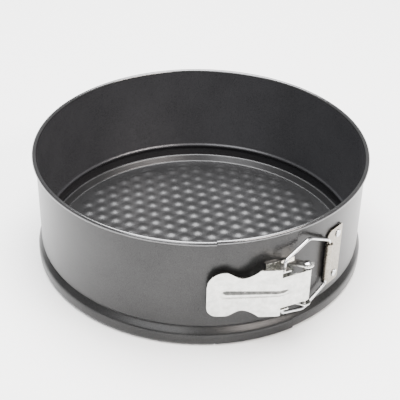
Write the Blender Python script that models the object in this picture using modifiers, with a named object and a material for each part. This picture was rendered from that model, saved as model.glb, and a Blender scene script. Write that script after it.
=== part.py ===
"""Springform pan: a base, a side band that opens, and the toggle latch that closes it.

Metres, +Z up.  The origin is on the pan's axis, in the plane that the pan rests on.
Angles round the pan are in degrees from -Y, growing towards +X.  The latch is at -Y.
"""
from math import atan2, cos, degrees, hypot, pi, radians, sin

import bmesh
import bpy
from mathutils import Matrix, Vector

for old in list(bpy.data.objects):
    bpy.data.objects.remove(old, do_unlink=True)

# ---------------------------------------------------------------- driving dimensions
INNER_RADIUS = 0.100          # inside of the side band, a 20 cm pan
HEIGHT = 0.072                # from the resting plane to the top of the rolled rim
SHEET = 0.0006                # steel of the band and the base
PLATE = 0.0008                # steel of the brackets
LEVER_SHEET = 0.0010
GAP = 0.0003                  # between pieces that touch

BEAD_RADIUS = 0.0014          # outer radius of the rolled rim
BEAD_CURL = 290               # degrees that the rim is rolled through
CHANNEL_DEPTH = 0.0024        # how far the bottom channel stands out from the wall
CHANNEL_TOP = 0.0103          # where the wall starts to flare into the channel
CHANNEL_SHOULDER = 0.0076
CHANNEL_FOOT = 0.0016
CHANNEL_ROUND = 0.0011        # width of the bevel along the channel's bottom edge
LIP_ROOT = 0.0002             # from the wall's middle out to where the lip starts
LIP_TOP = 0.0035              # the channel's inner lip, which carries the base
LIP_REACH = 0.0024            # how far the lip stands in from the wall
BAND_LIFT = 0.00005           # the band hangs this far over the resting plane

OVERLAP = 26.45               # degrees of the band that lie double at the latch
LAP_OFFSET = 0.0010           # how far the outer end stands out over the inner end
TURN_STEP = 4.4               # degrees to a facet on the turned pieces

BASE_CLEARANCE = 0.0015       # between the base's edge and the wall
FLOOR_RISE = 0.0034           # from the base's edge in to where its floor starts to rise
RIM_STEP = 0.0043             # height of the base's flange over its floor
RIM_RUN = 0.0026              # width of the slope between them

LATCH_LEVEL = 19 / 36         # height of the latch's middle, as a share of the pan's
PIN_RADIUS = 0.00125
PIN_HEAD = 0.0021
PIN_STANDOFF = 0.0082         # from the band to the hinge pin
PIN_ANGLE = 0.9
HOOK_BACK = 0.0132            # from the hinge pin back to the bail's ends
HOOK_IN = 0.0029              # from the hinge pin in towards the wall
WIRE_RADIUS = 0.0010
BAIL_ANGLE = 13.65            # where the bail turns in the catch bracket
BAIL_NECK = 0.0130            # half width of the bail in its curl
BAIL_SHARE = 31 / 90          # half width where the arms bend, as a share of the pan's height
BAIL_BEND = 0.0180            # from the curl to that bend
BAIL_TURN = 0.0021            # size of the wire's bends
EAR_INSIDE = 0.0128           # half the space between ears
EAR_RADIUS = 0.0036
LUG_RADIUS = 0.0024
LUG_ROOT = 0.0058             # from the bail's end back to where the lug leaves the body

TONGUE_HALF = 0.0105          # lever: half width at the hinge
TONGUE_LENGTH = 0.0179
TONGUE_TILT = 6.0             # degrees from the tangent at -Y
BODY_TILT = 28.0
BODY_MARGIN = 0.0024          # from a lug out to the body's edge
WAIST_HALF = 0.0112
TAIL_HALF = 0.0150
BODY_LENGTH = 0.0397
TAIL_CORNER = 0.0060

CATCH_HALF = 0.0195           # catch bracket
CATCH_END = 21.7
CATCH_CORNER = 0.0054         # width of the corners cut off it
CATCH_SLANT = 0.7             # their height over their width
RIVET_RADIUS = 0.0012
RIVET_HEAD = 0.0023
RIVET_SPREAD = 0.0142
RIVET_HEAD_HEIGHT = 0.0007

HINGE_PLATE_MARGIN = 0.0014   # hinge bracket: from an ear out to the plate's edge
HINGE_PLATE_START = -11.0
HINGE_PLATE_END = -1.2
EAR_ROOT = 5.0                # degrees of the plate that an ear grows from

LAP_CUT_END = 2.4             # degrees, past the outer end
CUT_MARGIN = 0.0040           # how far a cutter runs past what it cuts
WELD_DEPTH = 0.0002           # how far joined shapes run into each other
BARREL_INSET = 0.00002        # the rolled end is this much narrower than its tongue

# ---------------------------------------------------------------- what follows from them
WALL_MID = INNER_RADIUS + SHEET / 2
WALL_OUT = INNER_RADIUS + SHEET
BEAD_MID = BEAD_RADIUS - SHEET / 2
LAP_OUT = WALL_OUT + LAP_OFFSET
BAND_AXIS = Vector((0, WALL_OUT + 2 * BEAD_RADIUS, 0))
LATCH_Z = LATCH_LEVEL * HEIGHT
BAIL_SPREAD = BAIL_SHARE * HEIGHT
EAR_OUTSIDE = EAR_INSIDE + PLATE
BODY_HALF = EAR_OUTSIDE + BODY_MARGIN
HINGE_PLATE_HALF = EAR_OUTSIDE + HINGE_PLATE_MARGIN
BASE_RADIUS = INNER_RADIUS - BASE_CLEARANCE
FLOOR_EDGE = BASE_RADIUS - FLOOR_RISE
HOLE_RADIUS = PIN_RADIUS + GAP
BARREL_RADIUS = HOLE_RADIUS + LEVER_SHEET
CURL_RADIUS = WIRE_RADIUS + GAP + PLATE
CATCH_IN = WALL_OUT + GAP
CURL_AXIS_RADIUS = CATCH_IN + CURL_RADIUS


def at(radius, angle, z=0.0):
    """The point at a radius and an angle round the pan."""
    return Vector((radius * sin(radians(angle)), -radius * cos(radians(angle)), z))


PIN_AXIS = at(LAP_OUT + PIN_STANDOFF, PIN_ANGLE)
HOOK = PIN_AXIS + Vector((-HOOK_BACK, HOOK_IN, 0))
BAIL_AXIS = at(CURL_AXIS_RADIUS, BAIL_ANGLE)

# ---------------------------------------------------------------- collections and materials
pan = bpy.data.collections.new("springform_pan")
cutters = bpy.data.collections.new("cutters")
for made in (pan, cutters):
    bpy.context.scene.collection.children.link(made)


def steel(name, colour, roughness, metallic=1.0):
    made = bpy.data.materials.new(name)
    made.use_nodes = True
    shader = made.node_tree.nodes["Principled BSDF"]
    shader.inputs["Base Color"].default_value = (*colour, 1)
    shader.inputs["Roughness"].default_value = roughness
    shader.inputs["Metallic"].default_value = metallic
    made.diffuse_color = (*colour, 1)
    return made


BAND_COATING = steel("nonstick_coated_band", (0.21, 0.21, 0.215), 0.38, 0.6)
BASE_COATING = steel("nonstick_coated_base", (0.19, 0.19, 0.195), 0.35, 0.6)
LEVER_STEEL = steel("bright_plated_steel", (0.80, 0.80, 0.78), 0.18)
BRACKET_STEEL = steel("nickel_plated_steel", (0.66, 0.64, 0.60), 0.28)
WIRE_STEEL = steel("bright_wire", (0.78, 0.78, 0.78), 0.15)


# ---------------------------------------------------------------- shape helpers
def add(name, mesh, material=None, into=pan):
    thing = bpy.data.objects.new(name, mesh)
    into.objects.link(thing)
    if material:
        mesh.materials.append(material)
    if into is cutters:
        thing.hide_render = True
        thing.display_type = "WIRE"
    return thing


def turned(name, profile, start, end, steps, thickness, material=None, into=pan, centre=(0, 0, 0)):
    """A sheet turned round the pan's axis from one angle to another, its profile its middle."""
    mesh = bpy.data.meshes.new(name)
    points = [(radius, 0, z) for radius, z in profile]
    mesh.from_pydata(points, [(i, i + 1) for i in range(len(points) - 1)], [])
    thing = add(name, mesh, material, into)
    thing.location = centre
    thing.rotation_euler.z = radians(start - 90)
    screw = thing.modifiers.new("turn", "SCREW")
    screw.angle = radians(end - start)
    screw.steps = steps
    screw.render_steps = steps
    screw.use_merge_vertices = end - start >= 360
    screw.merge_threshold = 0.00001
    solidify = thing.modifiers.new("sheet", "SOLIDIFY")
    solidify.thickness = thickness
    solidify.offset = 0
    solidify.use_even_offset = True
    return thing


def evaluated(thing):
    """The object's finished shape as a plain mesh in world space; the object is removed."""
    bpy.context.view_layer.update()
    graph = bpy.context.evaluated_depsgraph_get()
    mesh = bpy.data.meshes.new_from_object(thing.evaluated_get(graph))
    mesh.transform(thing.matrix_world)
    name = thing.name
    home = thing.users_collection[0]
    bpy.data.objects.remove(thing)
    made = bpy.data.objects.new(name, mesh)
    home.objects.link(made)
    if home is cutters:
        made.hide_render = True
        made.display_type = "WIRE"
    return made


def boolean(target, tool, operation):
    modifier = target.modifiers.new(operation.lower(), "BOOLEAN")
    modifier.operation = operation
    modifier.object = tool
    modifier.solver = "EXACT"


def cylinder(name, radius, low, high, centre, into=cutters, sides=24):
    """An upright round bar between two heights."""
    bpy.ops.mesh.primitive_cylinder_add(vertices=sides, radius=radius, depth=high - low)
    thing = bpy.context.object
    mesh = thing.data
    bpy.data.objects.remove(thing)
    mesh.transform(Matrix.Translation((centre[0], centre[1], (low + high) / 2)))
    return add(name, mesh, into=into)


def plate(name, outline, thickness, placing, into=cutters):
    """A flat outline in XY, given its thickness along Z and then placed."""
    curve = bpy.data.curves.new(name, "CURVE")
    curve.dimensions = "2D"
    curve.fill_mode = "BOTH"
    curve.extrude = thickness / 2
    spline = curve.splines.new("POLY")
    spline.points.add(len(outline) - 1)
    for point, (x, y) in zip(spline.points, outline):
        point.co = (x, y, 0, 1)
    spline.use_cyclic_u = True
    thing = add(name, curve, into=into)
    thing.matrix_world = placing
    thing = evaluated(thing)
    weld(thing.data)
    return thing


def weld(mesh):
    work = bmesh.new()
    work.from_mesh(mesh)
    bmesh.ops.remove_doubles(work, verts=work.verts, dist=0.000001)
    bmesh.ops.recalc_face_normals(work, faces=work.faces)
    work.to_mesh(mesh)
    work.free()


def arc(centre, radius, start, end, count):
    """Points on an arc, angles in degrees."""
    step = (end - start) / (count - 1)
    turns = [radians(start + i * step) for i in range(count)]
    return [(centre[0] + radius * cos(t), centre[1] + radius * sin(t)) for t in turns]


def hang(thing, axis):
    """Parents a finished piece to an empty on its joint's axis."""
    thing.parent = axis
    thing.matrix_parent_inverse = Matrix.Translation(-axis.location)


def joint_axis(name, place):
    empty = bpy.data.objects.new(name, None)
    empty.location = place
    pan.objects.link(empty)
    return empty


def smooth(thing):
    for polygon in thing.data.polygons:
        polygon.use_smooth = True


# ---------------------------------------------------------------- side band
# One strip of sheet, its top edge rolled outwards into a rim and its bottom edge flared into
# a channel whose lip carries the base.  Its two ends overlap at the latch.  The strip bends
# opposite the outer end, so it is two halves that hinge there.  The lip is on the longer,
# catch half alone, which leaves the base free to lift while the band is shut.
def band_profile():
    bead = arc((WALL_MID + BEAD_MID, HEIGHT - BEAD_RADIUS), BEAD_MID, 180 - BEAD_CURL, 180, 11)
    channel = WALL_MID + CHANNEL_DEPTH
    bottom = SHEET / 2 + BAND_LIFT
    return bead + [
        (WALL_MID, CHANNEL_TOP),
        (channel, CHANNEL_SHOULDER),
        (channel, CHANNEL_FOOT),
        (channel - CHANNEL_ROUND, bottom),
        (WALL_MID + LIP_ROOT, bottom),
    ]


def lap_cutter(name, low, high):
    """Takes the rim or the channel's bottom off the outer end, where the inner end's lies."""
    middle = WALL_MID + CHANNEL_DEPTH / 2
    edge = degrees(2 * GAP / WALL_MID)
    profile = [(middle, high), (middle, low)]
    wide = 4 * CHANNEL_DEPTH
    return turned(name, profile, -OVERLAP - edge, LAP_CUT_END, 8, wide, into=cutters)


back = 180 - degrees(GAP / 2 / WALL_MID)
lip_edge = (INNER_RADIUS - LIP_REACH + SHEET / 2, LIP_TOP)
catch_half = turned("side_band_catch_half", band_profile() + [lip_edge], -OVERLAP, back,
                    round((back + OVERLAP) / TURN_STEP), SHEET, BAND_COATING)
latch_half = turned("side_band_latch_half", band_profile(), -back, 0,
                    round(back / TURN_STEP), SHEET, BAND_COATING, centre=(0, -LAP_OFFSET / 2, 0))
for vertex in latch_half.data.vertices:
    vertex.co.x += LAP_OFFSET / 2
rim_cut = lap_cutter("lap_rim_cut", HEIGHT - 2 * BEAD_RADIUS - GAP, HEIGHT + CUT_MARGIN)
foot_cut = lap_cutter("lap_foot_cut", -CUT_MARGIN, CHANNEL_FOOT + GAP)
boolean(latch_half, rim_cut, "DIFFERENCE")
boolean(latch_half, foot_cut, "DIFFERENCE")

# ---------------------------------------------------------------- base
# A pressed disc: a flat floor, a short slope, and a flange that lies on the channel's lip.
flange_z = SHEET / 2 + RIM_STEP
base_profile = [
    (BASE_RADIUS, flange_z),
    (FLOOR_EDGE + RIM_RUN, flange_z),
    (FLOOR_EDGE, SHEET / 2),
    (0, SHEET / 2),
]
base = turned("base", base_profile, 0, 360, round(360 / TURN_STEP), SHEET, BASE_COATING)

# ---------------------------------------------------------------- hinge bracket and pin
# A plate spot-welded to the band's outer end, with two ears that hold the lever's pin.
hinge_in = LAP_OUT + GAP
hinge_mid = hinge_in + PLATE / 2
hinge_bracket = turned("hinge_bracket",
                       [(hinge_mid, LATCH_Z + HINGE_PLATE_HALF), (hinge_mid, LATCH_Z - HINGE_PLATE_HALF)],
                       HINGE_PLATE_START, HINGE_PLATE_END, 4, PLATE, BRACKET_STEEL)
root_right = at(hinge_mid, HINGE_PLATE_END - degrees(WELD_DEPTH / hinge_mid))
root_left = at(hinge_mid, HINGE_PLATE_END - EAR_ROOT)
ear_turn = degrees(atan2(PIN_AXIS.y, PIN_AXIS.x))
ear_outline = [tuple(root_left[:2])]
ear_outline += arc(PIN_AXIS[:2], EAR_RADIUS, ear_turn - 75, ear_turn + 75, 9)
ear_outline += [tuple(root_right[:2])]
for name, side in (("upper", 1), ("lower", -1)):
    level = Matrix.Translation((0, 0, LATCH_Z + side * (EAR_INSIDE + PLATE / 2)))
    boolean(hinge_bracket, plate("hinge_ear_" + name, ear_outline, PLATE, level), "UNION")
pin_low = LATCH_Z - EAR_OUTSIDE - GAP - PLATE
pin_high = LATCH_Z + EAR_OUTSIDE + GAP + PLATE
pin_hole = cylinder("pin_hole", HOLE_RADIUS, pin_low, pin_high, PIN_AXIS)
boolean(hinge_bracket, pin_hole, "DIFFERENCE")

hinge_pin = cylinder("hinge_pin", PIN_RADIUS, pin_low + PLATE / 2, pin_high - PLATE / 2, PIN_AXIS, pan)
hinge_pin.data.materials.append(WIRE_STEEL)
for name, low in (("upper", pin_high - PLATE), ("lower", pin_low)):
    boolean(hinge_pin, cylinder("pin_head_" + name, PIN_HEAD, low, low + PLATE, PIN_AXIS), "UNION")

# ---------------------------------------------------------------- lever
# A pressed plate.  Its narrow tongue is rolled round the pin, two lugs behind it take the
# bail's ends, and its waisted body lies along the band with a rib pressed down its middle.
def lever_frame(tilt, origin):
    """X back along the plate, Y down, Z out of its front."""
    back_along = Vector((-cos(radians(tilt)), sin(radians(tilt)), 0))
    down = Vector((0, 0, -1))
    out = back_along.cross(down)
    frame = Matrix((back_along, down, out)).transposed().to_4x4()
    return Matrix.Translation(origin) @ frame


def body_half(s):
    """Half width of the body at a distance from its notch."""
    waist = 0.54 * BODY_LENGTH
    reach = 0.30 * BODY_LENGTH
    wide = BODY_HALF if s < waist else TAIL_HALF
    if abs(s - waist) >= reach:
        return wide
    return wide - (wide - WAIST_HALF) * (1 + cos(pi * (s - waist) / reach)) / 2


tongue_out = lever_frame(TONGUE_TILT, PIN_AXIS).col[2].xyz
tongue_frame = lever_frame(TONGUE_TILT, PIN_AXIS + tongue_out * (BARREL_RADIUS - LEVER_SHEET / 2))
tongue_frame.translation.z = LATCH_Z
body_frame = lever_frame(BODY_TILT, tongue_frame @ Vector((TONGUE_LENGTH, 0, 0)))

upper_edge = [i / 20 * (BODY_LENGTH - TAIL_CORNER) for i in range(21)]
body_outline = [(s, body_half(s)) for s in upper_edge]
body_outline += arc((BODY_LENGTH - TAIL_CORNER, TAIL_HALF - TAIL_CORNER), TAIL_CORNER, 75, 0, 5)
body_outline += [(s, -half) for s, half in reversed(body_outline)]
lever = plate("lever", body_outline, LEVER_SHEET, body_frame, into=pan)
lever.data.materials.append(LEVER_STEEL)

tongue_end = TONGUE_LENGTH + WELD_DEPTH
tongue_outline = [(0, TONGUE_HALF), (tongue_end, TONGUE_HALF),
                  (tongue_end, -TONGUE_HALF), (0, -TONGUE_HALF)]
boolean(lever, plate("tongue", tongue_outline, LEVER_SHEET, tongue_frame), "UNION")
barrel_half = TONGUE_HALF - BARREL_INSET
boolean(lever, cylinder("barrel", BARREL_RADIUS, LATCH_Z - barrel_half, LATCH_Z + barrel_half,
                        PIN_AXIS, sides=20), "UNION")
hook_local = tongue_frame.inverted() @ Vector((HOOK.x, HOOK.y, LATCH_Z))
lug_front = LEVER_SHEET * 0.3
lug_outline = [(hook_local.x + LUG_ROOT, lug_front), (hook_local.x - LUG_RADIUS, lug_front)]
lug_outline += arc((hook_local.x, hook_local.z), LUG_RADIUS, 180, 360, 9)
for name, side in (("upper", 1), ("lower", -1)):
    lug_frame = tongue_frame @ Matrix.Translation((0, side * (EAR_INSIDE + PLATE / 2), 0))
    lug_frame = lug_frame @ Matrix.Rotation(pi / 2, 4, "X")
    boolean(lever, plate("lug_" + name, lug_outline, PLATE, lug_frame), "UNION")
    lug_z = LATCH_Z + side * EAR_INSIDE
    boolean(lever, cylinder("hook_hole_" + name, WIRE_RADIUS + GAP, lug_z - 2 * PLATE, lug_z + 2 * PLATE,
                            HOOK, sides=12), "DIFFERENCE")
boolean(lever, pin_hole, "DIFFERENCE")

# ---------------------------------------------------------------- bail
# Spring wire bent round the lever: its back turns in the catch bracket's curl, its arms
# spread so that the lever passes between them, and its ends point in at the lever's lugs.
reach = hypot(*(HOOK - BAIL_AXIS)[:2])
away = (HOOK - BAIL_AXIS).normalized()


def bail_point(along, half):
    return BAIL_AXIS + away * along + Vector((0, 0, LATCH_Z + half))


tip = EAR_OUTSIDE + GAP
turn = BAIL_TURN
route = [(reach, tip), (reach, tip + turn), (reach - turn / 2, tip + 2 * turn),
         (BAIL_BEND + turn * 0.8, BAIL_SPREAD - turn / 2), (BAIL_BEND, BAIL_SPREAD),
         (BAIL_BEND - turn * 0.9, BAIL_SPREAD - turn * 0.4),
         (turn, BAIL_NECK + turn * 1.5), (turn * 0.3, BAIL_NECK + turn * 0.8), (0, BAIL_NECK)]
route += [(along, -half) for along, half in reversed(route)]
wire = bpy.data.curves.new("bail", "CURVE")
wire.dimensions = "3D"
wire.bevel_depth = WIRE_RADIUS
wire.bevel_resolution = 2
wire.use_fill_caps = True
spline = wire.splines.new("POLY")
spline.points.add(len(route) - 1)
for point, (along, half) in zip(spline.points, route):
    point.co = (*bail_point(along, half), 1)
bail = evaluated(add("bail", wire))
weld(bail.data)
bail.data.materials.append(WIRE_STEEL)

# ---------------------------------------------------------------- catch bracket and rivets
# A plate riveted to the band's inner end, its edge curled round the bail's back.
catch_mid = CATCH_IN + PLATE / 2
catch_bracket = turned("catch_bracket",
                       [(catch_mid, LATCH_Z + CATCH_HALF), (catch_mid, LATCH_Z - CATCH_HALF)],
                       BAIL_ANGLE, CATCH_END, 4, PLATE, BRACKET_STEEL)
curl_low = LATCH_Z - BAIL_NECK + GAP
curl_high = LATCH_Z + BAIL_NECK - GAP
boolean(catch_bracket, cylinder("curl", CURL_RADIUS, curl_low, curl_high, BAIL_AXIS, sides=20), "UNION")
for name, side in (("upper", 1), ("lower", -1)):
    corner = [(-CUT_MARGIN, 0), (CATCH_CORNER, 0), (0, -CATCH_SLANT * CATCH_CORNER),
              (-CUT_MARGIN, -CATCH_SLANT * (CATCH_CORNER + CUT_MARGIN))]
    outline = [(x, side * y) for x, y in corner]
    place = at(catch_mid, BAIL_ANGLE, LATCH_Z + side * (CATCH_HALF + WELD_DEPTH))
    frame = Matrix.Translation(place) @ Matrix.Rotation(radians(BAIL_ANGLE), 4, "Z")
    frame = frame @ Matrix.Rotation(pi / 2, 4, "X")
    boolean(catch_bracket, plate("corner_cut_" + name, outline, CUT_MARGIN, frame), "DIFFERENCE")
boolean(catch_bracket, cylinder("curl_hole", WIRE_RADIUS + GAP, LATCH_Z - CATCH_HALF, LATCH_Z + CATCH_HALF,
                                BAIL_AXIS, sides=20), "DIFFERENCE")

rivet_angle = BAIL_ANGLE + 0.67 * (CATCH_END - BAIL_ANGLE)
for name, side in (("upper", 1), ("lower", -1)):
    z = LATCH_Z + side * RIVET_SPREAD
    outward = at(1, rivet_angle).to_track_quat("Z", "Y").to_matrix().to_4x4()
    shapes = []
    head = CATCH_IN + PLATE + GAP
    for part, radius, low, high, sides in (
            ("rivet_shank", RIVET_RADIUS, INNER_RADIUS, head + RIVET_HEAD_HEIGHT / 2, 16),
            ("rivet_head", RIVET_HEAD, head, head + RIVET_HEAD_HEIGHT, 20),
            ("rivet_hole", RIVET_RADIUS + GAP, INNER_RADIUS - PLATE, head + PLATE, 16)):
        made = cylinder(f"{part}_{name}", radius, low, high, (0, 0, 0), sides=sides)
        made.data.transform(Matrix.Translation((0, 0, z)) @ outward)
        shapes.append(made)
    shank, rivet_top, hole = shapes
    boolean(catch_half, hole, "DIFFERENCE")
    boolean(catch_bracket, hole, "DIFFERENCE")
    cutters.objects.unlink(shank)
    pan.objects.link(shank)
    shank.hide_render = False
    shank.display_type = "TEXTURED"
    shank.name = f"catch_rivet_{name}"
    shank.data.materials.append(BRACKET_STEEL)
    boolean(shank, rivet_top, "UNION")

# ---------------------------------------------------------------- joint axes
band_axis = joint_axis("band_axis", BAND_AXIS)
lever_axis = joint_axis("lever_axis", PIN_AXIS)
bail_axis = joint_axis("bail_axis", BAIL_AXIS)
hang(lever, lever_axis)
hang(bail, bail_axis)
for piece in (latch_half, hinge_bracket, hinge_pin):
    hang(piece, band_axis)
for piece in (hinge_pin, bail):
    smooth(piece)
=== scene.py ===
"""The looks of the springform pan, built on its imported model.

Metres, +Z up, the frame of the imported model.  Angles round the pan are in degrees from -Y,
growing towards +X, and the latch is at -Y.
"""
from math import atan2, cos, degrees, hypot, pi, radians, sin, sqrt

import bmesh
import bpy
from mathutils import Matrix, Vector


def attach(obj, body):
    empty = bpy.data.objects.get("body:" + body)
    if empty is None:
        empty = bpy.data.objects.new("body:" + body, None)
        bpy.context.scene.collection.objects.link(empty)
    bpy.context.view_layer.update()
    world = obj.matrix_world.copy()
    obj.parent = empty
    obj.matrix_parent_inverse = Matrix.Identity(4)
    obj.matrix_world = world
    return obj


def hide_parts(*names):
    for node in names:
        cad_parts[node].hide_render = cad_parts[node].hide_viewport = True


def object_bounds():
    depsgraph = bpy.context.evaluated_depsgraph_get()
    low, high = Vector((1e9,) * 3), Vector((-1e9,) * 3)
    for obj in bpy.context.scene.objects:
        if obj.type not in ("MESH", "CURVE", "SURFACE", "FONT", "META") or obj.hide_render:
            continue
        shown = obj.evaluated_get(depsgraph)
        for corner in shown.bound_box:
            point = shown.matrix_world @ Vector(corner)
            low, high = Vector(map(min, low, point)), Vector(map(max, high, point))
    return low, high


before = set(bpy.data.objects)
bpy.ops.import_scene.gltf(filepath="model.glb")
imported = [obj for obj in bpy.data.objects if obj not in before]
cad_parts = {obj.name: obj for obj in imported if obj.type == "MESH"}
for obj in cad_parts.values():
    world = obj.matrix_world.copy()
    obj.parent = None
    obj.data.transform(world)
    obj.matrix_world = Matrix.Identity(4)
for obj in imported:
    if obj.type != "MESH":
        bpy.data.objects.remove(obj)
cad_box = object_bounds()

# ================================================================= camera
# A product shot from above and to the left of the latch, through a long lens, with the
# camera rolled by about a degree.
CAMERA_ANGLE = -31.85
CAMERA_RISE = 33.3
CAMERA_DISTANCE = 0.6245
CAMERA_AIM = Vector((0, 0, 0.0374))
CAMERA_ROLL = 1.15


def at(radius, angle, z=0.0):
    """The point at a radius and an angle round the pan."""
    return Vector((radius * sin(radians(angle)), -radius * cos(radians(angle)), z))


eye = CAMERA_AIM + at(CAMERA_DISTANCE * cos(radians(CAMERA_RISE)), CAMERA_ANGLE,
                      CAMERA_DISTANCE * sin(radians(CAMERA_RISE)))
lens = bpy.data.cameras.new("camera")
lens.lens = 88.8
lens.sensor_width = 36
lens.shift_x = -0.0009
lens.shift_y = -0.0244
camera = bpy.data.objects.new("camera", lens)
look = (CAMERA_AIM - eye).to_track_quat("-Z", "Y").to_matrix().to_4x4()
roll = Matrix.Rotation(radians(CAMERA_ROLL), 4, "Z")
camera.matrix_world = Matrix.Translation(eye) @ look @ roll
bpy.context.scene.collection.objects.link(camera)
bpy.context.scene.camera = camera


# ================================================================= floor and light
# A white sheet of paper in a dim room, under one large soft box overhead, a second to the
# left and a slightly warm strip in front, on the latch's side.
def linear(code):
    """A colour written as sRGB hex, as the linear values that a shader takes."""
    parts = [int(code[i:i + 2], 16) / 255 for i in (1, 3, 5)]
    return [p / 12.92 if p <= 0.04045 else ((p + 0.055) / 1.055) ** 2.4 for p in parts] + [1]


def add_node(tree, kind, links=(), **settings):
    """Adds a node, sets its properties and inputs, and links (output socket, input name) pairs."""
    made = tree.nodes.new(kind)
    for name, value in settings.items():
        key = name.replace("_", " ")
        if hasattr(made, name):
            setattr(made, name, value)
        else:
            made.inputs[key].default_value = value
    for socket, name in links:
        tree.links.new(socket, made.inputs[name])
    return made


def new_material(name):
    """An empty node material, its tree, its object coordinates and its output."""
    made = bpy.data.materials.new(name)
    made.use_nodes = True
    tree = made.node_tree
    tree.nodes.clear()
    place = add_node(tree, "ShaderNodeTexCoord").outputs["Object"]
    return made, tree, place, add_node(tree, "ShaderNodeOutputMaterial")


world = bpy.data.worlds.new("studio")
bpy.context.scene.world = world
world.use_nodes = True
world.node_tree.nodes["Background"].inputs["Color"].default_value = (1, 1, 1, 1)
world.node_tree.nodes["Background"].inputs["Strength"].default_value = 0.5

paper, tree, place, output = new_material("white_paper")
fibre = add_node(tree, "ShaderNodeTexNoise", [(place, "Vector")], Scale=300.0, Detail=4.0)
tone = add_node(tree, "ShaderNodeMapRange", [(fibre.outputs["Fac"], "Value")],
                To_Min=0.90, To_Max=0.94)
shader = add_node(tree, "ShaderNodeBsdfPrincipled", [(tone.outputs["Result"], "Base Color")],
                  Roughness=0.9)
tree.links.new(shader.outputs["BSDF"], output.inputs["Surface"])
bpy.ops.mesh.primitive_plane_add(size=6)
floor = bpy.context.object
floor.name = "floor"
floor.data.materials.append(paper)


def soft_box(name, place, size, power, colour="#ffffff"):
    """A rectangular area light, turned towards the pan."""
    light = bpy.data.lights.new(name, "AREA")
    light.shape = "RECTANGLE"
    light.size, light.size_y = size
    light.energy = power
    light.color = linear(colour)[:3]
    made = bpy.data.objects.new(name, light)
    made.location = place
    made.rotation_euler = (CAMERA_AIM - Vector(place)).to_track_quat("-Z", "Y").to_euler()
    bpy.context.scene.collection.objects.link(made)


soft_box("key", (-0.9, -0.5, 1.1), (0.9, 0.9), 15)
soft_box("top", (0.1, 0.2, 1.4), (1.2, 1.2), 105)
soft_box("latch", (0.294, -0.904, 0.887), (0.8, 0.2), 20, "#fff5ee")

# ================================================================= side band
# One strip of steel under a grey metallic non-stick coat.  Its top edge is rolled into a
# rim and its bottom edge flared into the channel that grips the base.  Its outer end laps
# over its inner end at the latch, with the rim and the channel's lip cut off.
INNER_RADIUS = 0.100
HEIGHT = cad_box[1][2]
SHEET = 0.0006
BEAD_RADIUS = 0.0014
CHANNEL_DEPTH = 0.00232
OVERLAP = 26.45
LAP_OFFSET = 0.0010
LAP_GAP = 0.35
WALL_MID = INNER_RADIUS + SHEET / 2
CREASE_IN = 0.0013
CREASE_TOP, CREASE_Z, CREASE_FOOT = 0.0128, 0.0115, 0.0101
CHANNEL_TOP, CHANNEL_FOOT = 0.0076, 0.0018
LIP_Z = 0.00036
LIP_TURN, LIP_ROOT = 0.0013, 0.0002
LIP_EDGE = (0.0990, 0.0035)
FOLD_RADIUS = 0.0012
FINE_TURN = 1.5
HIDDEN_TONGUE = 0.4
TONGUE_SHARE = 0.6
BEAD_GAP = 0.0003


def arc(centre, radius, start, end, count):
    """Points on an arc, angles in degrees."""
    turns = [radians(start + i * (end - start) / (count - 1)) for i in range(count)]
    return [(centre[0] + radius * cos(t), centre[1] + radius * sin(t)) for t in turns]


def rounded(points, radius, count=5):
    """A path with each inner corner swept round, as bent metal turns."""
    path = [Vector(points[0])]
    for before, corner, after in zip(points, points[1:], points[2:]):
        a, b, c = Vector(before), Vector(corner), Vector(after)
        reach = min(radius, (a - b).length * 0.45, (c - b).length * 0.45)
        first = b + (a - b).normalized() * reach
        last = b + (c - b).normalized() * reach
        for i in range(count):
            t = i / (count - 1)
            path.append(first * (1 - t) ** 2 + b * 2 * t * (1 - t) + last * t ** 2)
    return path + [Vector(points[-1])]


def sheet_loop(path, thickness):
    """The outline of a sheet whose middle follows a path."""
    path = [Vector(p) for p in path]
    sides = ([], [])
    for i, point in enumerate(path):
        along = (path[min(i + 1, len(path) - 1)] - path[max(i - 1, 0)]).normalized()
        across = Vector((-along.y, along.x)) * thickness / 2
        sides[0].append(point + across)
        sides[1].append(point - across)
    return sides[0] + sides[1][::-1]


def finish_mesh(name, work, material, body, node, edge=0.0):
    """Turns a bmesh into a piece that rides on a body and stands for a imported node; edge is
    the size that its sharp edges are rounded to."""
    bmesh.ops.remove_doubles(work, verts=work.verts, dist=0.000002)
    bmesh.ops.recalc_face_normals(work, faces=work.faces)
    if edge:
        keen = [e for e in work.edges if e.is_manifold and e.calc_face_angle() > radians(50)]
        bmesh.ops.bevel(work, geom=keen, offset=edge, segments=2, affect="EDGES",
                        clamp_overlap=True)
    mesh = bpy.data.meshes.new(name)
    work.to_mesh(mesh)
    work.free()
    mesh.shade_smooth()
    mesh.set_sharp_from_angle(angle=radians(35))
    mesh.materials.append(material)
    piece = bpy.data.objects.new(name, mesh)
    bpy.context.scene.collection.objects.link(piece)
    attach(piece, body)
    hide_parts(node)
    return piece


def skin(work, loops, full=False):
    """Adds the surface through a row of closed outlines, capped at its ends unless it is full."""
    rings = [[work.verts.new(p) for p in loop] for loop in loops]
    for ring, following in list(zip(rings, rings[1:])) + ([(rings[-1], rings[0])] if full else []):
        for j in range(len(ring)):
            k = (j + 1) % len(ring)
            work.faces.new((ring[j], ring[k], following[k], following[j]))
    if not full:
        work.faces.new(rings[0])
        work.faces.new(rings[-1][::-1])


def sweep(work, loop, start, end, step, centre=Vector()):
    """Adds a closed outline of (radius, height) points, turned round an upright axis."""
    count = max(1, round((end - start) / step))
    full = end - start >= 360
    angles = [start + i * (end - start) / count for i in range(count if full else count + 1)]
    skin(work, [[centre + at(p[0], angle, p[1]) for p in loop] for angle in angles], full)


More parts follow.
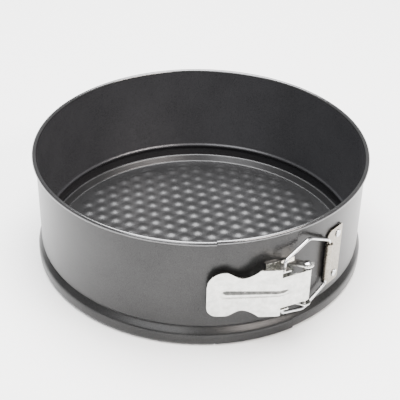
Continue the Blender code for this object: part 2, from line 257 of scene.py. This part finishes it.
def steel_finish(name, dark, light, grain, roughness, metallic=1.0, bump=0.03, stretch=(1, 1, 1)):
    """Bare or coated metal: fine grain over broad mottling, in colour, gloss and relief."""
    made, tree, place, output = new_material(name)
    spread = add_node(tree, "ShaderNodeMapping", [(place, "Vector")], Scale=stretch)
    fine = add_node(tree, "ShaderNodeTexNoise", [(spread.outputs["Vector"], "Vector")],
                    Scale=grain, Detail=3.0, Roughness=0.6)
    broad = add_node(tree, "ShaderNodeTexNoise", [(place, "Vector")], Scale=45.0, Detail=4.0)
    both = add_node(tree, "ShaderNodeMath", [(broad.outputs["Fac"], 0), (fine.outputs["Fac"], 2)],
                    operation="MULTIPLY_ADD")
    both.inputs[1].default_value = 0.25
    share = add_node(tree, "ShaderNodeMapRange", [(both.outputs["Value"], "Value")],
                     From_Min=0.42, From_Max=0.82)
    colour = add_node(tree, "ShaderNodeMix", [(share.outputs["Result"], 0)], data_type="RGBA")
    colour.inputs[6].default_value = linear(dark)
    colour.inputs[7].default_value = linear(light)
    gloss = add_node(tree, "ShaderNodeMapRange", [(both.outputs["Value"], "Value")],
                     From_Min=0.42, From_Max=0.82, To_Min=roughness[0], To_Max=roughness[1])
    relief = add_node(tree, "ShaderNodeBump", [(fine.outputs["Fac"], "Height")],
                      Strength=bump, Distance=0.0002)
    shader = add_node(tree, "ShaderNodeBsdfPrincipled",
                      [(colour.outputs[2], "Base Color"), (gloss.outputs["Result"], "Roughness"),
                       (relief.outputs["Normal"], "Normal")], Metallic=metallic)
    tree.links.new(shader.outputs["BSDF"], output.inputs["Surface"])
    return made


# Smooth dark non-stick coat inside; outside, a grey one with bright metal flakes.  On the rolled
# rim, a lighter, glossier copy of the same coat: a painted highlight, so that the rim shows as a
# bright line.  The flakes are drawn 0.4 mm across, far coarser than the real ones, so that they
# show.
FLAKE = 2400.0
inner_coat = steel_finish("inner_nonstick_coat", "#363638", "#4a4a4d", FLAKE,
                          (0.24, 0.34), 0.5, 0.04)
outer_coat = steel_finish("outer_flake_coat", "#1b1b1c", "#393939", FLAKE,
                          (0.26, 0.38), 0.65, 0.10)
# the rim's lighter copy of the coat: painted highlight along the rolled rim
rim_painted_highlight_coat = steel_finish("rim_painted_highlight_coat", "#4c4c4d", "#6c6c6d", FLAKE, (0.12, 0.20), 0.9, 0.03)


def coat_outside(piece):
    """Gives the faces that look away from the pan's axis the outer coat, and the rim a lighter
    copy of the coat that paints a highlight along it.
    """
    piece.data.materials.append(outer_coat)
    piece.data.materials.append(rim_painted_highlight_coat)
    for face in piece.data.polygons:
        middle = face.center
        if middle.z > HEIGHT - 2 * BEAD_RADIUS:
            # the rim's faces take the lighter coat, a painted highlight
            face.material_index = 2
        elif middle.x * face.normal.x + middle.y * face.normal.y > 0:
            face.material_index = 1


wall_foot = [(WALL_MID, CREASE_TOP), (WALL_MID - CREASE_IN, CREASE_Z), (WALL_MID, CREASE_FOOT),
             (WALL_MID + CHANNEL_DEPTH, CHANNEL_TOP), (WALL_MID + CHANNEL_DEPTH, CHANNEL_FOOT)]
lip = [(WALL_MID + CHANNEL_DEPTH - LIP_TURN, LIP_Z), (WALL_MID + LIP_ROOT, LIP_Z), LIP_EDGE]
bead_centre = (WALL_MID + BEAD_RADIUS - SHEET / 2, HEIGHT - BEAD_RADIUS)
bead = arc(bead_centre, BEAD_RADIUS - SHEET / 2, -110, 180, 19)
full_path = bead[:-1] + rounded([bead[-1]] + wall_foot + lip, FOLD_RADIUS)
lap_top = HEIGHT - 2 * BEAD_RADIUS - BEAD_GAP
lap_path = rounded([(WALL_MID, lap_top)] + wall_foot, FOLD_RADIUS)

work = bmesh.new()
sweep(work, sheet_loop(full_path, SHEET), -OVERLAP, 180, FINE_TURN)
coat_outside(finish_mesh("band_inner_end", work, inner_coat, "catch_side",
                         "side_band_catch_half"))

shift = Vector((0, -LAP_OFFSET / 2, 0))
wider = LAP_OFFSET / 2
work = bmesh.new()
outer_path = [(r + wider, z) for r, z in full_path]
sweep(work, sheet_loop(outer_path, SHEET), -180, -OVERLAP - LAP_GAP, FINE_TURN, shift)
lap_path = [(r + wider, z) for r, z in lap_path]
sweep(work, sheet_loop(lap_path, SHEET), -OVERLAP - LAP_GAP, 0, FINE_TURN, shift)
# a thin tongue inside the other half, so that no slit opens where the strip bends
sweep(work, sheet_loop(outer_path, SHEET * TONGUE_SHARE), -180 - HIDDEN_TONGUE, -180,
      HIDDEN_TONGUE / 2, shift)
coat_outside(finish_mesh("band_outer_end", work, inner_coat, "latch_side",
                         "side_band_latch_half"))

# ================================================================= base
# A pressed disc under the same coat.  Rows of round dimples are raised in its floor on a
# triangular grid, and a flange round it lies on the channel's lip.
FLOOR_EDGE = 0.0954
FLANGE_Z = SHEET / 2 + 0.0043
FLANGE_RADIUS, FLANGE_INNER = 0.0990, 0.0976
SLOPE_FOOT = 0.004
FLAT_MARGIN = 0.005
PRESS_RADIUS = 0.0010
RING_STEP = 0.0009
DIMPLE_PITCH = 0.01014
DIMPLE_RADIUS = 0.0050
DIMPLE_HEIGHT = 0.0008
DIMPLE_FIELD = 0.0885
DIMPLE_TURN = 6.34
DIMPLE_START = (0.02037, 0.02555)


def dimple(x, y):
    """Height of the floor over its flat at a point, from the nearest dimple of the grid."""
    c, s = cos(radians(DIMPLE_TURN)), sin(radians(DIMPLE_TURN))
    u = (x - DIMPLE_START[0]) * c + (y - DIMPLE_START[1]) * s
    v = (y - DIMPLE_START[1]) * c - (x - DIMPLE_START[0]) * s
    row = DIMPLE_PITCH * sqrt(3)
    offsets = []
    for odd in (0, 0.5):
        du = u - (round(u / DIMPLE_PITCH - odd) + odd) * DIMPLE_PITCH
        dv = v - (round(v / row - odd) + odd) * row
        offsets.append((hypot(du, dv), du, dv))
    near, du, dv = min(offsets)
    if near > DIMPLE_RADIUS or hypot(x - du * c + dv * s, y - du * s - dv * c) > DIMPLE_FIELD:
        return 0.0
    return DIMPLE_HEIGHT * (1 + cos(pi * near / DIMPLE_RADIUS)) / 2


rim = rounded([(FLANGE_RADIUS, FLANGE_Z), (FLANGE_INNER, FLANGE_Z), (FLOOR_EDGE, SHEET / 2),
               (FLOOR_EDGE - SLOPE_FOOT, SHEET / 2)], PRESS_RADIUS)
rings = round((FLOOR_EDGE - FLAT_MARGIN) / RING_STEP)
floor_path = [(i * (FLOOR_EDGE - FLAT_MARGIN) / rings, SHEET / 2) for i in range(rings, -1, -1)]
work = bmesh.new()
sweep(work, sheet_loop(rim + floor_path, SHEET)[:-1], 0, 360, 1.0)
for vertex in work.verts:
    if hypot(vertex.co.x, vertex.co.y) < FLOOR_EDGE - SLOPE_FOOT / 2:
        vertex.co.z += dimple(vertex.co.x, vertex.co.y)
# the same non-stick coat as on the wall, with more metallic sheen where it lies on the floor
floor_coat = steel_finish("floor_nonstick_coat", "#333334", "#4c4c4d", FLAKE,
                          (0.27, 0.37), 0.75, 0.04)
finish_mesh("base_disc", work, floor_coat, "base", "base")

# ================================================================= hinge bracket
# A zinc-plated plate, spot-welded to the band's outer end.  Two ears bent out of it hold
# the lever's pin.
LATCH_Z = 0.038
PLATE = 0.0008
GAP = 0.0003
LAP_OUT = INNER_RADIUS + SHEET + LAP_OFFSET
PIN_STANDOFF = 0.0082
PIN_AXIS = at(LAP_OUT + PIN_STANDOFF, 0.9)
EAR_INSIDE = 0.0128
EAR_RADIUS = 0.0036
EAR_START, EAR_END = -6.2, -1.35
PLATE_HALF = 0.0150
PLATE_START, PLATE_END = -11.0, -1.2
PIN_RADIUS = 0.00125
EDGE = 0.00012


def cut_plate(work, outline, holes, thickness, placing):
    """Adds a flat plate from its outline and its round holes (x, y, radius), then places it."""
    curve = bpy.data.curves.new("outline", "CURVE")
    curve.dimensions = "2D"
    curve.fill_mode = "BOTH"
    curve.extrude = thickness / 2
    for points in [outline] + [arc((x, y), radius, 0, 345, 24) for x, y, radius in holes]:
        spline = curve.splines.new("POLY")
        spline.points.add(len(points) - 1)
        for point, (x, y) in zip(spline.points, points):
            point.co = (x, y, 0, 1)
        spline.use_cyclic_u = True
    flat = bpy.data.objects.new("outline", curve)
    mesh = flat.to_mesh()
    mesh.transform(placing)
    work.from_mesh(mesh)
    bpy.data.objects.remove(flat)


# bright zinc plate, with a faint mottle about 4 mm across
bright_plate = steel_finish("zinc_plated_sheet", "#b4b4b0", "#dadad6", 260.0,
                            (0.14, 0.30), 1.0, 0.03)

hinge_in = LAP_OUT + GAP
work = bmesh.new()
strip = [(hinge_in, LATCH_Z - PLATE_HALF), (hinge_in + PLATE, LATCH_Z - PLATE_HALF),
         (hinge_in + PLATE, LATCH_Z + PLATE_HALF), (hinge_in, LATCH_Z + PLATE_HALF)]
sweep(work, strip, PLATE_START, PLATE_END, 0.7)
ear_turn = degrees(atan2(PIN_AXIS.y, PIN_AXIS.x))
ear = [tuple(at(hinge_in + PLATE / 2, EAR_START)[:2])]
ear += arc(PIN_AXIS[:2], EAR_RADIUS, ear_turn - 75, ear_turn + 75, 25)
ear += [tuple(at(hinge_in + PLATE / 2, EAR_END)[:2])]
for side in (1, -1):
    level = Matrix.Translation((0, 0, LATCH_Z + side * (EAR_INSIDE + PLATE / 2)))
    cut_plate(work, ear, [(*PIN_AXIS[:2], PIN_RADIUS + GAP)], PLATE, level)
finish_mesh("hinge_bracket_plate", work, bright_plate, "latch_side", "hinge_bracket",
            edge=EDGE)

# ================================================================= hinge pin
# A bright steel pin through both ears and the lever's rolled end.  Each of its ends is
# peened over into a low round head.
PIN_HEAD = 0.0021
HEAD_FLAT, HEAD_SHOULDER = 0.0004, 0.00068

# drawn wire, polished by the die, with faint upright streaks drawn coarser than real
bright_wire = steel_finish("drawn_bright_wire", "#a9a9aa", "#dededf", 1500.0,
                           (0.08, 0.18), 1.0, 0.03, (1, 1, 0.3))

reach = EAR_INSIDE + PLATE + GAP
half_pin = [(PIN_RADIUS, reach), (PIN_HEAD, reach), (PIN_HEAD, reach + HEAD_FLAT),
            (PIN_HEAD * 0.8, reach + HEAD_SHOULDER), (0, reach + PLATE)]
upper_half = [(r, LATCH_Z + z) for r, z in half_pin]
lower_half = [(r, LATCH_Z - z) for r, z in reversed(half_pin)]
work = bmesh.new()
sweep(work, upper_half + lower_half, 0, 360, 12, PIN_AXIS)
finish_mesh("hinge_pin_bar", work, bright_wire, "latch_side", "hinge_pin")

# ================================================================= lever
# A zinc-plated pressing.  Its tongue is rolled round the pin, its waisted body follows the
# band, a rib stiffens it, and two lugs folded behind it take the bail's ends.
LEVER_SHEET = 0.0010
ROLL = PIN_RADIUS + GAP + LEVER_SHEET / 2
TONGUE_HALF = 0.0105
NOTCH = 0.0167
BEND = 0.0179
BEND_RADIUS = 0.012
TONGUE_TILT = 6.0
BODY_TURN = 22.0
BODY_HALF = 0.0160
WAIST = 0.0214
WAIST_HALF = 0.0110
SHOULDER = 0.0118
TAIL_HALF = 0.0150
TAIL_RISE = 0.0096
LEVER_END = 0.0576
UPPER_CORNER, LOWER_CORNER = 0.0100, 0.0060
EDGE_ROUND = 0.00018
RIB = (0.0110, 0.0500)
RIB_HALF, RIB_FLARE = 0.0020, 0.0014
RIB_RISE, RIB_SWELL = 0.0009, 0.0004
RIB_FADE = 0.004
RIB_STEP = 0.0003


def lever_path(s):
    """The lever's middle as (back, out) from the pin, at a length back from the rolled end."""
    if s < 0:
        turn = pi / 2 - s / ROLL
        return Vector((ROLL * cos(turn), ROLL * sin(turn)))
    turn = radians(BODY_TURN)
    start = BEND - BEND_RADIUS * sin(turn / 2) / cos(turn / 2)
    if s < start:
        return Vector((s, ROLL))
    swept = min(turn, (s - start) / BEND_RADIUS)
    point = Vector((start + BEND_RADIUS * sin(swept), ROLL - BEND_RADIUS * (1 - cos(swept))))
    rest = s - start - BEND_RADIUS * swept
    return point + Vector((cos(turn), -sin(turn))) * rest


def lever_half(s, corner):
    """Half width of the lever's body at a length back, with a rounded corner at its tail."""
    b = s - NOTCH
    if b < SHOULDER:
        return BODY_HALF
    if b < WAIST:
        return WAIST_HALF + (BODY_HALF - WAIST_HALF) * ((WAIST - b) / (WAIST - SHOULDER)) ** 1.7
    rise = min(1, (b - WAIST) / TAIL_RISE)
    wide = WAIST_HALF + (TAIL_HALF - WAIST_HALF) * (1 - cos(pi * rise)) / 2
    over = max(0, s - (LEVER_END - corner))
    return wide - corner + sqrt(max(0, corner ** 2 - over ** 2))


def rib_height(s, w):
    """How far the rib stands out of the plate, which is widest near the tail."""
    share = (s - RIB[0]) / (RIB[1] - RIB[0])
    if not 0 < share < 1:
        return 0.0
    wide = RIB_HALF + RIB_FLARE * share
    ends = min(1, (RIB[1] - s) / wide, (s - RIB[0]) / RIB_FADE)
    if abs(w) >= wide:
        return 0.0
    return (RIB_RISE + RIB_SWELL * share) * sqrt(ends) * (1 + cos(pi * w / wide)) / 2


back_along = Vector((-cos(radians(TONGUE_TILT)), sin(radians(TONGUE_TILT)), 0))
outwards = Vector((-sin(radians(TONGUE_TILT)), -cos(radians(TONGUE_TILT)), 0))
lever_origin = Vector((PIN_AXIS.x, PIN_AXIS.y, LATCH_Z))


def lever_point(s, w, out=0.0):
    """The point at a length back and a height, moved out of the plate."""
    p = lever_path(s)
    along = (lever_path(s + 0.00005) - lever_path(s - 0.00005)).normalized()
    p += Vector((-along.y, along.x)) * out
    return lever_origin + back_along * p.x + outwards * p.y + Vector((0, 0, w))


ROLL_LENGTH = ROLL * radians(220)
stations = [-ROLL_LENGTH + i * ROLL_LENGTH / 24 for i in range(24)]
stations += [i * NOTCH / 22 for i in range(22)]
stations += [NOTCH + i * (LEVER_END - NOTCH) / 78 for i in range(79)]
middle = [i * RIB_STEP for i in range(-13, 14)]
shares = [0.2, 0.4, 0.6, 0.8, 1.0]
work = bmesh.new()
rows = []
for s in stations:
    body = s > NOTCH - 0.00001
    edges = [TONGUE_HALF] * 2
    if body:
        edges = [lever_half(s, UPPER_CORNER), lever_half(s, LOWER_CORNER)]
    inner = [min(TONGUE_HALF, 0.9 * wide) if body else TONGUE_HALF for wide in edges]
    upper = [middle[-1] + (inner[0] - middle[-1]) * t for t in shares]
    lower = [middle[0] - (inner[1] - middle[-1]) * t for t in reversed(shares)]
    across = lower + middle + upper
    if body:
        across = ([-edges[1] + (edges[1] - inner[1]) * t for t in (0, 0.34, 0.67)] + across
                  + [edges[0] - (edges[0] - inner[0]) * t for t in (0.67, 0.34, 0)])
    rows.append([work.verts.new(lever_point(s, w, rib_height(s, w))) for w in across])
for ring, following in zip(rows, rows[1:]):
    skip = (len(following) - len(ring)) // 2
    following = following[skip:len(following) - skip]
    for j in range(len(ring) - 1):
        work.faces.new((ring[j], ring[j + 1], following[j + 1], following[j]))
bmesh.ops.recalc_face_normals(work, faces=work.faces)
mesh = bpy.data.meshes.new("lever_sheet")
work.to_mesh(mesh)
work.free()
sheet = bpy.data.objects.new("lever_sheet", mesh)
bpy.context.scene.collection.objects.link(sheet)
thick = sheet.modifiers.new("thickness", "SOLIDIFY")
thick.thickness = LEVER_SHEET
thick.offset = 0
bpy.context.view_layer.update()
depsgraph = bpy.context.evaluated_depsgraph_get()
solid = bpy.data.meshes.new_from_object(sheet.evaluated_get(depsgraph))
bpy.data.objects.remove(sheet)
work = bmesh.new()
work.from_mesh(solid)

# the lugs: flat ears folded back from the notch, with a hole for the bail's end
HOOK_OFFSET = (-0.0132, 0.0029, 0)
HOOK = PIN_AXIS + Vector(HOOK_OFFSET)
hook_in = HOOK - PIN_AXIS
hook = (hook_in.dot(back_along), hook_in.dot(outwards))
LUG_RADIUS = 0.0024
LUG_HOLE = 0.0013
LUG_BACK = 0.0058
LUG_SINK = 0.0003
lug = [(hook[0] + LUG_BACK, ROLL - LUG_SINK), (hook[0] - LUG_RADIUS, ROLL - LUG_SINK)]
lug += arc(hook, LUG_RADIUS, 180, 360, 25)
lug_frame = Matrix((back_along, outwards, back_along.cross(outwards))).transposed().to_4x4()
for side in (1, -1):
    level = Matrix.Translation(lever_origin + Vector((0, 0, side * (EAR_INSIDE + PLATE / 2))))
    cut_plate(work, lug, [(*hook, LUG_HOLE)], PLATE, level @ lug_frame)
finish_mesh("lever_plate", work, bright_plate, "lever", "lever", edge=EDGE_ROUND)

# ================================================================= bail
# Spring wire, 2 mm thick, bent round the lever: its back turns in the catch bracket's curl,
# its arms spread to pass the lever, and its ends point in at the lever's lugs.
WIRE_RADIUS = 0.0010
BAIL_NECK = 0.0130
BAIL_SPREAD = 0.0248
BAIL_BEND = 0.0180
BAIL_CORNER = 0.0030
END_TURN = 0.0042
NECK_TURN = 0.0022
BAIL_ANGLE = 13.65
BAIL_AXIS = at(INNER_RADIUS + SHEET + GAP + WIRE_RADIUS + GAP + PLATE, BAIL_ANGLE)
span = HOOK - BAIL_AXIS
away = span.normalized()
tip = EAR_INSIDE + PLATE + GAP
corners = [(span.length, tip), (span.length, tip + END_TURN), (BAIL_BEND, BAIL_SPREAD),
           (0, BAIL_NECK + NECK_TURN)]
route = rounded(corners + [(along, -w) for along, w in reversed(corners)], BAIL_CORNER, 8)
flat_normal = away.cross(Vector((0, 0, 1)))
loops = []
for i, point in enumerate(route):
    along = (route[min(i + 1, len(route) - 1)] - route[max(i - 1, 0)]).normalized()
    side = away * -along.y + Vector((0, 0, along.x))
    middle_point = BAIL_AXIS + away * point.x + Vector((0, 0, LATCH_Z + point.y))
    spokes = [side * cos(radians(t)) + flat_normal * sin(radians(t)) for t in range(0, 360, 20)]
    loops.append([middle_point + spoke * WIRE_RADIUS for spoke in spokes])
work = bmesh.new()
skin(work, loops)
finish_mesh("bail_wire", work, bright_wire, "bail", "bail", edge=EDGE)

# ================================================================= catch bracket
# A nickel-plated steel plate, riveted to the band's inner end.  Its edge towards the lever
# is curled over the bail's back.
CATCH_IN = INNER_RADIUS + SHEET + GAP
CATCH_HALF = 0.0195
CATCH_START, CATCH_END = BAIL_ANGLE, 21.7
CORNER_RADIUS = 0.0016
CUT_CORNER = 0.0026
catch_width = radians(CATCH_END - CATCH_START) * (CATCH_IN + PLATE / 2)
CURL_MID = WIRE_RADIUS + GAP + PLATE / 2
CURL_HALF = 0.0127

# dull nickel plate over rolled steel, with a satin grain drawn coarser than real
nickel_plate = steel_finish("nickel_plated_sheet", "#767168", "#a49e93", 900.0,
                            (0.22, 0.38), 1.0, 0.05)

loops = []
for i in range(31):
    x = catch_width * i / 30
    over = max(0, x - (catch_width - CORNER_RADIUS))
    high = min(CATCH_HALF, CATCH_HALF - CUT_CORNER + x) - CORNER_RADIUS
    high += sqrt(max(0, CORNER_RADIUS ** 2 - over ** 2))
    angle = CATCH_START + x / catch_width * (CATCH_END - CATCH_START)
    loops.append([at(CATCH_IN + r, angle, LATCH_Z + z)
                  for r, z in ((0, -high), (PLATE, -high), (PLATE, high), (0, high))])
work = bmesh.new()
skin(work, loops)
curl = sheet_loop(arc((0, 0), CURL_MID, -90, -380, 33), PLATE)
level_frame = Matrix.Translation(BAIL_AXIS) @ Matrix.Rotation(radians(CATCH_START), 4, "Z")
level_frame = level_frame @ Matrix.Scale(-1, 4, (0, 1, 0))
skin(work, [[level_frame @ Vector((p.x, p.y, LATCH_Z + z)) for p in curl]
            for z in (-CURL_HALF, CURL_HALF)])
finish_mesh("catch_bracket_plate", work, nickel_plate, "catch_side", "catch_bracket",
            edge=EDGE)

# ================================================================= rivets
# Two solid rivets with low round heads hold the catch bracket.  They end flush with the
# inside of the band.
RIVET_RADIUS = 0.0012
RIVET_HEAD = 0.0023
RIVET_OFFSET = 0.0142
RIVET_SHARE = 0.67
rivet_angle = CATCH_START + RIVET_SHARE * (CATCH_END - CATCH_START)
head_in = CATCH_IN + PLATE + GAP
shape = [(0, INNER_RADIUS), (RIVET_RADIUS, INNER_RADIUS), (RIVET_RADIUS, head_in)]
shape += [(RIVET_HEAD * share, head_in + rise) for share, rise in
          ((1, 0), (0.96, 0.0003), (0.75, 0.0005), (0.4, 0.00065), (0, 0.0007))]
for name, side in (("upper", 1), ("lower", -1)):
    work = bmesh.new()
    sweep(work, shape, 0, 360, 15)
    turn = at(1, rivet_angle).to_track_quat("Z", "Y").to_matrix().to_4x4()
    level = Matrix.Translation((0, 0, LATCH_Z + side * RIVET_OFFSET))
    bmesh.ops.transform(work, matrix=level @ turn, verts=work.verts)
    node = "catch_rivet_" + name
    finish_mesh("rivet_" + name, work, bright_wire, "catch_side", node)
